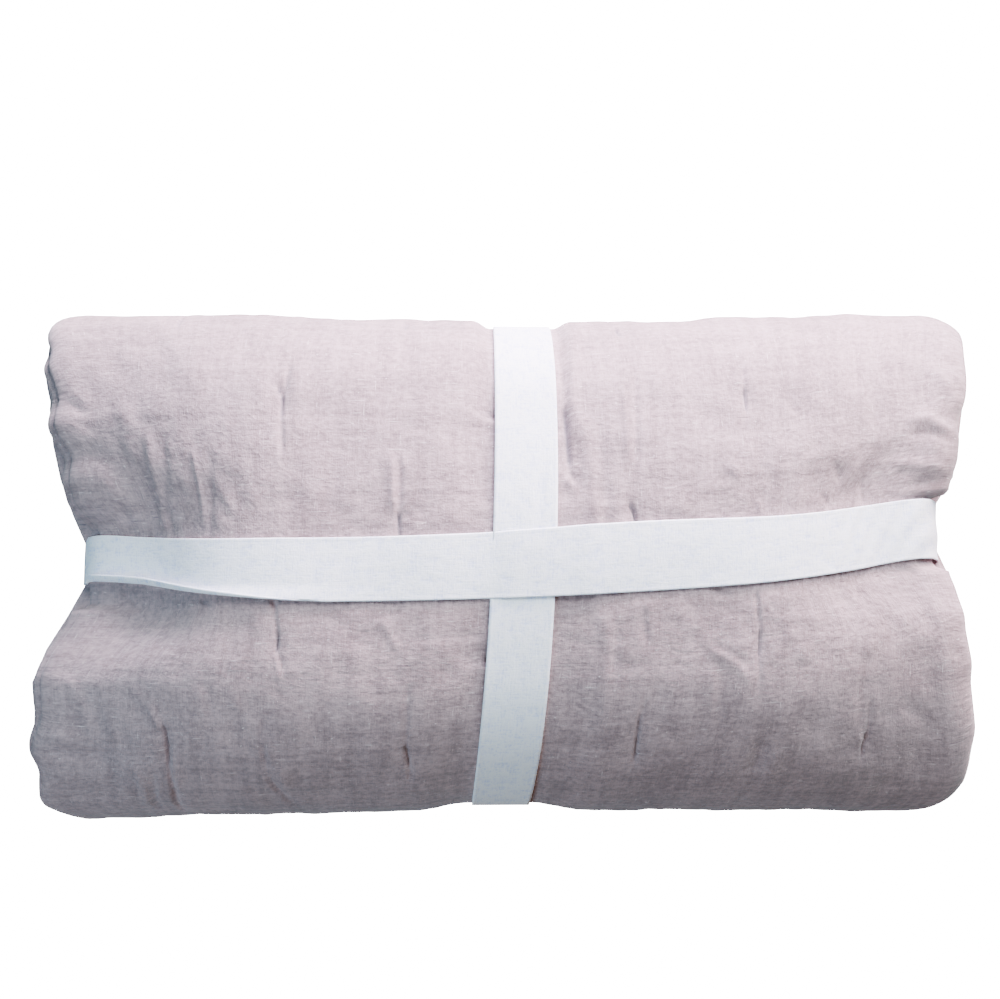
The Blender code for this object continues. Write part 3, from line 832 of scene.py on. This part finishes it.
# How the lengthwise tape's front edge rolls up more and more toward the left end, how that edge is
# gathered on the way down both ends, and the low lip that runs on from the roll
CURL = {"length": 0.0135, "flatness": 0.3, "starts_at": -0.115, "full_at": -0.275, "least_lift": 0.3}
GATHER = {"left": 0.42, "right": 0.06}
GATHER_AT_RIGHT = {"starts_at": 0.24, "fade": 0.06}
LIP = {"width": 0.011, "height": 0.0030, "ends_at": -0.07, "fade": 0.12}
LEAST_ROLL = 1e-6
LEFT_END_SHIFT = {"reach": 0.0042, "starts_at": -0.195}

# Heights in the square-folded stack, between which the tape's details come in
OFF_UNDERSIDE = {"starts_at": 0.02, "fade": 0.06}
OFF_LOWER_HALF = {"starts_at": 0.1, "fade": 0.05}
TOWARD_TOP = {"starts_at": 0.160, "fade": 0.018}
ON_TOP = {"starts_at": 0.1805, "fade": 0.0104}

TAPE_WRINKLES = {"height": 0.0003, "rate": 330.0, "slant": -0.9, "starts_at": 0.16, "fade": 0.09}
TAPE_SPREAD = {"reach": 0.0034, "middle": 0.065, "half": 0.085}
TAPE_LUMP_SIZE = 0.023
LENGTHWISE = {"columns": 45, "unevenness": 0.0003, "lump_seed": 13}
CROSSWISE = {"columns": 25, "unevenness": 0.00015, "lump_seed": 11}
# The crosswise tape stands this far off the cloth, but for one trough along it
TROUGH = {"depth": 0.0003, "side": 0.009, "half_side": 0.0035, "y": 0.045, "half_y": 0.03}
# Where the lengthwise tape steps over the crosswise one
STEP_OVER = {"fade": 0.014, "room": 0.0002}


class QuiltSettings(bpy.types.PropertyGroup):
    """What a user may change about the quilt."""

    colour: colour_setting("Linen", "Colour of the washed linen", (0.440, 0.314, 0.333))
    shade_colour: colour_setting("Linen shade", "Colour of its deeper patches", (0.222, 0.152, 0.165))
    pale_thread: colour_setting("Pale thread", "Colour of the palest slubs", (0.640, 0.535, 0.555))
    dark_thread: colour_setting("Dark thread", "Colour of the darkest slubs", (0.150, 0.100, 0.118))
    fill: FloatProperty(name="Fill", description="How full the padding is", default=0.55, min=0, max=1)


class TapeSettings(bpy.types.PropertyGroup):
    """What a user may change about the tapes."""

    colour: colour_setting("Cotton", "Colour of the cotton tape", (0.93, 0.945, 1.0))
    shade_colour: colour_setting("Cotton shade", "Colour of its deeper threads", (0.62, 0.67, 0.89))
    width: length_setting("Width", "Width of the tape", 0.038)
    thickness: length_setting("Thickness", "Thickness of the tape", 0.0008)
    seat_gap: length_setting("Seat gap", "Gap between the tape and the cloth", 0.0005)


class StageSettings(bpy.types.PropertyGroup):
    """What a user may change about the floor, the lights and the camera."""

    floor_size: length_setting("Floor size", "Side of the square floor", 6.0)
    camera_distance: length_setting("Camera distance", "From the bundle's middle to the camera", 0.81)
    camera_elevation: FloatProperty(
        name="Elevation",
        description="Angle of the camera above the horizon",
        default=math.radians(85.0),
        subtype="ANGLE",
    )
    lens: FloatProperty(name="Lens", description="Focal length in millimetres", default=43.6)


# ---------------------------------------------------------------- the pieces

# A stop faces up when its outward z passes this
FACING_UP = 0.99
# The covering face shows within this share of a level from the outer levels' middles, and on the turns
# that face outward at least this much and reach within this distance of the front and back
OUTER_LEVEL_ROOM = 0.1
LEAST_FACING_OUT = 0.001
OUTER_TURN_REACH = 0.11

# The lengthwise tape's loop: the spacing of its places over the top, how many go round each corner and
# down each end, and how deep the corners are, as a share of the strip's half thickness
LOOP = {"step": 0.0045, "corner_points": 9, "side_points": 30, "corner_depth": 0.7}


def quilt_mesh():
    """The whole folded strip as one closed skin, with the cover's relief."""
    stops = section_stops()
    ring = strip_ring()
    stop_y, stop_z, out_y, out_z = np.array(stops).T
    square = square_points(stops, ring)
    settled = lay(square.reshape(-1, 3)) + bundle_offset()
    x = square[:, :, 0]
    lift = np.tile(HALF_STRIP * ring[:, 1], (len(stops), 1))

    face_y, face_z = stop_y + HALF_STRIP * out_y, stop_z + HALF_STRIP * out_z
    steps = np.hypot(np.diff(face_y), np.diff(face_z))
    way = np.concatenate(([0.0], np.cumsum(steps)))
    top = np.where((stop_z > level_height(TOP_LEVEL - 0.5)) & (out_z > FACING_UP))[0]
    way -= np.interp(0.0, stop_y[top][::-1], way[top][::-1])
    ways = np.tile(way[:, None], (1, len(ring)))

    mesh = capped_tube("quilt_cloth", settled, len(stops), len(ring))
    rounding = np.tile(np.clip(ring[:, 1], 0, 1), (len(stops), 1))
    showing = np.array([stop_shows(stop) for stop in stops], dtype=float)[:, None]
    relief = cover_relief(x.ravel(), ways.ravel()).reshape(x.shape) * rounding * showing
    shaped = settled + mesh_normals(mesh) * relief.reshape(-1, 1)
    shaped[:, 2] = np.maximum(shaped[:, 2], np.minimum(settled[:, 2], 0.0))
    mesh.vertices.foreach_set("co", shaped.ravel())
    mesh.update()
    store_places(mesh, "cloth", np.stack((x, ways, lift), axis=-1))
    # How far each point lies down a stitch's slit, for the linen's painted shade there
    depth = slit_depth(x.ravel(), ways.ravel()) * (lift.ravel() > 0)
    mesh.attributes.new("slit", "FLOAT", "POINT").data.foreach_set("value", depth.astype(np.float32))
    return mesh


def stop_shows(stop):
    """Whether the covering face at a stop is on the outside of the bundle."""
    topmost = stop.z > level_height(TOP_LEVEL - OUTER_LEVEL_ROOM)
    lowest = stop.z < level_height(OUTER_LEVEL_ROOM)
    faces_out = abs(stop.out_y) > LEAST_FACING_OUT and stop.y * stop.out_y > 0
    return topmost or lowest or faces_out and abs(stop.y) > HALF_DEPTH - OUTER_TURN_REACH


def crosswise_path():
    """The short way round the covering face, as (y, z) places of the square-folded stack."""
    turns = (OVER_BACK, OVER_FRONT, UNDER_BACK)
    over_back, over_front, under_back = map(turn_stops, turns)
    back_y, front_y, under_y = (turn_centre(turn)[0] for turn in turns)
    under = run_stops(0, front_y, under_y)
    stops = under[len(under) // 2:] + under_back[:len(under_back) // 2 + 1]
    stops += over_back[len(over_back) // 2:] + run_stops(TOP_LEVEL, back_y, front_y)
    stops += over_front + under[:len(under) // 2]
    y, z, out_y, out_z = np.array(stops).T
    return np.column_stack((y + HALF_STRIP * out_y, z + HALF_STRIP * out_z))


def lengthwise_path():
    """The long way round the bundle, as (x, z) places of the square-folded stack."""
    surface = level_height(TOP_LEVEL) + HALF_STRIP
    corner = RIGHT_FOLDS[0]["depth"]
    over = np.arange(-HALF_LENGTH + corner, HALF_LENGTH - corner, LOOP["step"])
    turn = np.linspace(0, math.pi / 2, LOOP["corner_points"])
    drop = LOOP["corner_depth"] * HALF_STRIP
    corner_x = HALF_LENGTH - corner + corner * np.sin(turn)
    right = np.column_stack((corner_x, surface - drop * (1 - np.cos(turn))))
    side = np.linspace(surface - drop, HEIGHT - surface + drop, LOOP["side_points"])[1:-1]
    down = np.column_stack((np.full(len(side), HALF_LENGTH), side))
    lower = np.column_stack((right[::-1, 0], HEIGHT - right[::-1, 1]))
    half = np.vstack((right, down, lower))
    top = np.column_stack((over, np.full(len(over), surface)))
    under = np.column_stack((over[::-1], np.full(len(over), HEIGHT - surface)))
    loop = np.vstack((top, half, under, half[:0:-1] * (-1, 1)))
    return np.roll(loop, -(len(top) + len(half) + len(under) // 2), axis=0)


def lay_tape(square, lift, slide):
    """A closed band on the settled bundle: rows by columns of places, lifted off the cloth and slid."""
    rows, columns = square.shape[:2]
    ring = lay(square.reshape(-1, 3)).reshape(rows, columns, 3)
    onward = np.roll(ring, -1, axis=0) - np.roll(ring, 1, axis=0)
    sideways = np.gradient(ring, axis=1)
    sideways /= np.linalg.norm(sideways, axis=2)[:, :, None]
    normals = np.cross(onward, sideways)
    normals /= np.linalg.norm(normals, axis=2)[:, :, None]
    outward = np.sign(((ring - ring.mean(axis=(0, 1))) * normals).sum())
    return ring + outward * normals * lift[:, :, None] + sideways * slide[:, :, None] + bundle_offset()


def band_mesh(name, points, across, thickness):
    """A thin closed band, with its place on the flat tape stored."""
    rows, columns = points.shape[:2]
    steps = np.linalg.norm(np.diff(points[:, columns // 2], axis=0), axis=1)
    along = np.concatenate(([0.0], np.cumsum(steps)))
    index = np.arange(rows * columns).reshape(rows, columns)
    mesh = smooth_mesh(name, points.reshape(-1, 3), quads(np.vstack((index, index[:1]))))
    places = np.stack(np.broadcast_arrays(across[None, :], along[:, None], 0.0), axis=-1)
    store_places(mesh, "cloth", places)
    band = bpy.data.objects.new(name, mesh)
    solid = band.modifiers.new("Thickness", "SOLIDIFY")
    solid.thickness = thickness
    solid.offset = 0.0
    return band, float(along[-1])


def tie(name, square, across, lift, slide, settings, node):
    """The lift is beyond what it has lying close on the cloth."""
    close = settings.seat_gap + settings.thickness / 2
    points = lay_tape(square, close + lift, slide)
    band, length = band_mesh(name, points, across, settings.thickness)
    show(band)
    band.data.materials.append(tape_material(settings))
    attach(band, "root")
    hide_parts(node)


def front_edge_curl(x, side, z, width):
    """How the lengthwise tape's front edge rolls up toward the left end: its lift and its slide."""
    toward = np.clip((CURL["starts_at"] - x) / (CURL["starts_at"] - CURL["full_at"]), 0, 1)
    above = rise(z, TOWARD_TOP)
    gather = GATHER["left"] * toward * rise(z, OFF_UNDERSIDE) * (1 - above)
    gather += GATHER["right"] * rise(x, GATHER_AT_RIGHT) * rise(z, OFF_UNDERSIDE)
    gathered = np.where(side < 0, side * gather, 0.0)
    rolled = CURL["length"] * toward * above
    radius = np.maximum(rolled, LEAST_ROLL) / math.pi
    beyond = np.clip(-side - (width / 2 - rolled), 0, None)
    angle = beyond / radius
    fullness = CURL["least_lift"] + (1 - CURL["least_lift"]) * rise(z, ON_TOP)
    lift = CURL["flatness"] * fullness * radius * (1 - np.cos(angle))
    slide = beyond - radius * np.sin(angle) - gathered
    at_edge = ease((-side - width / 2 + LIP["width"]) / LIP["width"])
    lip = at_edge * ease((LIP["ends_at"] - x) / LIP["fade"])
    return lift + LIP["height"] * lip * above, slide


class QUILT_OT_fold_cloth(bpy.types.Operator):
    """Make the folded quilt"""

    bl_idname = "quilt.fold_cloth"
    bl_label = "Fold the quilt"

    def execute(self, context):
        settings = context.scene.quilt_settings
        quilt = show(bpy.data.objects.new("quilt_cloth", quilt_mesh()))
        quilt.data.materials.append(linen_material(settings))
        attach(quilt, "root")
        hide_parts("quilt")
        return {"FINISHED"}


class QUILT_OT_tie_crosswise(bpy.types.Operator):
    """Tie the tape that runs the short way round"""

    bl_idname = "quilt.tie_crosswise"
    bl_label = "Tie the crosswise tape"

    def execute(self, context):
        settings = context.scene.tape_settings
        path = crosswise_path()
        across = np.linspace(-settings.width / 2, settings.width / 2, CROSSWISE["columns"])
        square = np.array([[(side, y, z) for side in across] for y, z in path])
        side, y = square[:, :, 0], square[:, :, 1]
        trough = hump(side, TROUGH["side"], TROUGH["half_side"]) * hump(y, TROUGH["y"], TROUGH["half_y"])
        lumps = lattice_noise(side + 1.0, y, TAPE_LUMP_SIZE, CROSSWISE["lump_seed"])
        lift = TROUGH["depth"] * (1 - trough) + CROSSWISE["unevenness"] * lumps
        tie("crosswise_tape", square, across, lift, np.zeros_like(lift), settings, "tape_crosswise")
        return {"FINISHED"}


class QUILT_OT_tie_lengthwise(bpy.types.Operator):
    """Tie the tape that runs the long way round, over the other one"""

    bl_idname = "quilt.tie_lengthwise"
    bl_label = "Tie the lengthwise tape"

    def execute(self, context):
        settings = context.scene.tape_settings
        path = lengthwise_path()
        across = np.linspace(-settings.width / 2, settings.width / 2, LENGTHWISE["columns"])
        square = np.array([[(x, side, z) for side in across] for x, z in path])
        x, side, z = square[:, :, 0], square[:, :, 1].copy(), square[:, :, 2]
        moved = share_toward_left(x, LEFT_END_SHIFT["starts_at"])
        square[:, :, 1] += LEFT_END_SHIFT["reach"] * moved**2
        lift, slide = front_edge_curl(x, side, z, settings.width)
        step_height = settings.seat_gap + settings.thickness + STEP_OVER["room"]
        lift += bed(x - SHIFT_CROSSWISE, STEP_OVER["fade"]) * step_height
        waves = np.sin(TAPE_WRINKLES["rate"] * (x + TAPE_WRINKLES["slant"] * side)) + 1
        lift += TAPE_WRINKLES["height"] * waves * rise(x, TAPE_WRINKLES)
        lumps = lattice_noise(x, side + 1.0, TAPE_LUMP_SIZE, LENGTHWISE["lump_seed"])
        lift += LENGTHWISE["unevenness"] * (1 + lumps)
        spread = TAPE_SPREAD["reach"] * hump(x, TAPE_SPREAD["middle"], TAPE_SPREAD["half"])
        slide += spread * np.clip(side / (settings.width / 2), 0, 1) * rise(z, OFF_LOWER_HALF)
        tie("lengthwise_tape", square, across, lift, slide, settings, "tape_lengthwise")
        return {"FINISHED"}


# ---------------------------------------------------------------- floor, lights and camera

# Square area lights: where each stands, its side, power in watts and colour. A script solved the powers
# and colours for the bundle's brightness, and they were then rounded and corrected by hand.
LIGHTS = {
    "low_back": {"place": (1.01, 1.44, 0.47), "size": 1.0, "power": 162.0, "colour": (1.0, 0.73, 0.77)},
    "high_back": {"place": (0.73, 1.04, 1.37), "size": 1.0, "power": 85.0, "colour": (0.82, 0.93, 1.0)},
    "front": {"place": (0.0, -1.56, 1.0), "size": 1.0, "power": 8.2, "colour": (1.0, 0.77, 0.61)},
    "left": {"place": (-1.28, -0.74, 1.13), "size": 1.0, "power": 25.0, "colour": (0.50, 0.80, 1.0)},
    "near_back": {"place": (0.08, 0.87, 0.33), "size": 0.4, "power": 41.0, "colour": (0.88, 0.78, 1.0)},
}
AIM = Vector((-0.0018, 0.0385, 0.10))
FLOOR_COLOUR = (0.90, 0.90, 0.90)
FLOOR_GLOW = 22.0
FLOOR_HEIGHT = -0.0004


def add_light(name, row, target):
    data = bpy.data.lights.new(name, "AREA")
    data.shape = "SQUARE"
    data.size = row["size"]
    data.energy = row["power"]
    data.color = row["colour"]
    light = show(bpy.data.objects.new(name, data))
    light.location = row["place"]
    light.visible_camera = False
    light.rotation_euler = (target - light.location).to_track_quat("-Z", "Y").to_euler()


def add_camera(settings, middle):
    data = bpy.data.cameras.new("camera")
    data.sensor_width = 36.0
    data.lens = settings.lens
    camera = show(bpy.data.objects.new("camera", data))
    elevation = settings.camera_elevation
    outward = Vector((0, -math.cos(elevation), math.sin(elevation)))
    camera.location = middle + settings.camera_distance * outward
    camera.location.x = AIM.x
    toward = AIM - camera.location
    camera.rotation_euler = (math.atan2(toward.y, -toward.z), 0, 0)
    bpy.context.scene.camera = camera


def floor_material():
    shader = Shader("pale floor", Roughness=0.9, Base_Color=(*FLOOR_COLOUR, 1.0))
    shader.surface.inputs["Emission Color"].default_value = (1, 1, 1, 1)
    shader.surface.inputs["Emission Strength"].default_value = FLOOR_GLOW
    return shader.material


class QUILT_OT_set_stage(bpy.types.Operator):
    """Lay the floor and set the lights and the camera"""

    bl_idname = "quilt.set_stage"
    bl_label = "Set the stage"

    def execute(self, context):
        settings = context.scene.stage_settings
        middle = (CAD_LOW + CAD_HIGH) / 2
        half = settings.floor_size / 2
        mesh = bpy.data.meshes.new("floor")
        signs = ((-1, -1), (1, -1), (1, 1), (-1, 1))
        corners = [(half * x, half * y, FLOOR_HEIGHT) for x, y in signs]
        mesh.from_pydata(corners, [], [(0, 1, 2, 3)])
        floor = show(bpy.data.objects.new("floor", mesh))
        mesh.materials.append(floor_material())
        floor.visible_diffuse = False
        floor.visible_glossy = False
        world = bpy.data.worlds.new("studio")
        world.use_nodes = True
        world.node_tree.nodes["Background"].inputs["Strength"].default_value = 0.0
        context.scene.world = world
        for name, row in LIGHTS.items():
            add_light(name, row, middle)
        add_camera(settings, middle)
        return {"FINISHED"}


OPERATORS = (QUILT_OT_fold_cloth, QUILT_OT_tie_crosswise, QUILT_OT_tie_lengthwise, QUILT_OT_set_stage)
SETTINGS = {
    "quilt_settings": QuiltSettings,
    "tape_settings": TapeSettings,
    "stage_settings": StageSettings,
}


class QUILT_PT_bundle(bpy.types.Panel):
    """The bundle's pieces and their settings"""

    bl_idname = "QUILT_PT_bundle"
    bl_label = "Tied folded quilt"
    bl_space_type = "VIEW_3D"
    bl_region_type = "UI"
    bl_category = "Quilt"

    def draw(self, context):
        for operator in OPERATORS:
            self.layout.operator(operator.bl_idname)
        for name, group in SETTINGS.items():
            box = self.layout.box()
            for setting in group.__annotations__:
                box.prop(getattr(context.scene, name), setting)


def register():
    for cls in (*SETTINGS.values(), *OPERATORS, QUILT_PT_bundle):
        bpy.utils.register_class(cls)
    for name, group in SETTINGS.items():
        setattr(bpy.types.Scene, name, PointerProperty(type=group))


def unregister():
    for name in SETTINGS:
        delattr(bpy.types.Scene, name)
    for cls in (QUILT_PT_bundle, *reversed(OPERATORS), *reversed(SETTINGS.values())):
        bpy.utils.unregister_class(cls)


def main():
    register()
    bpy.ops.quilt.fold_cloth()
    bpy.ops.quilt.tie_crosswise()
    bpy.ops.quilt.tie_lengthwise()
    bpy.ops.quilt.set_stage()


if __name__ == "__main__":
    main()
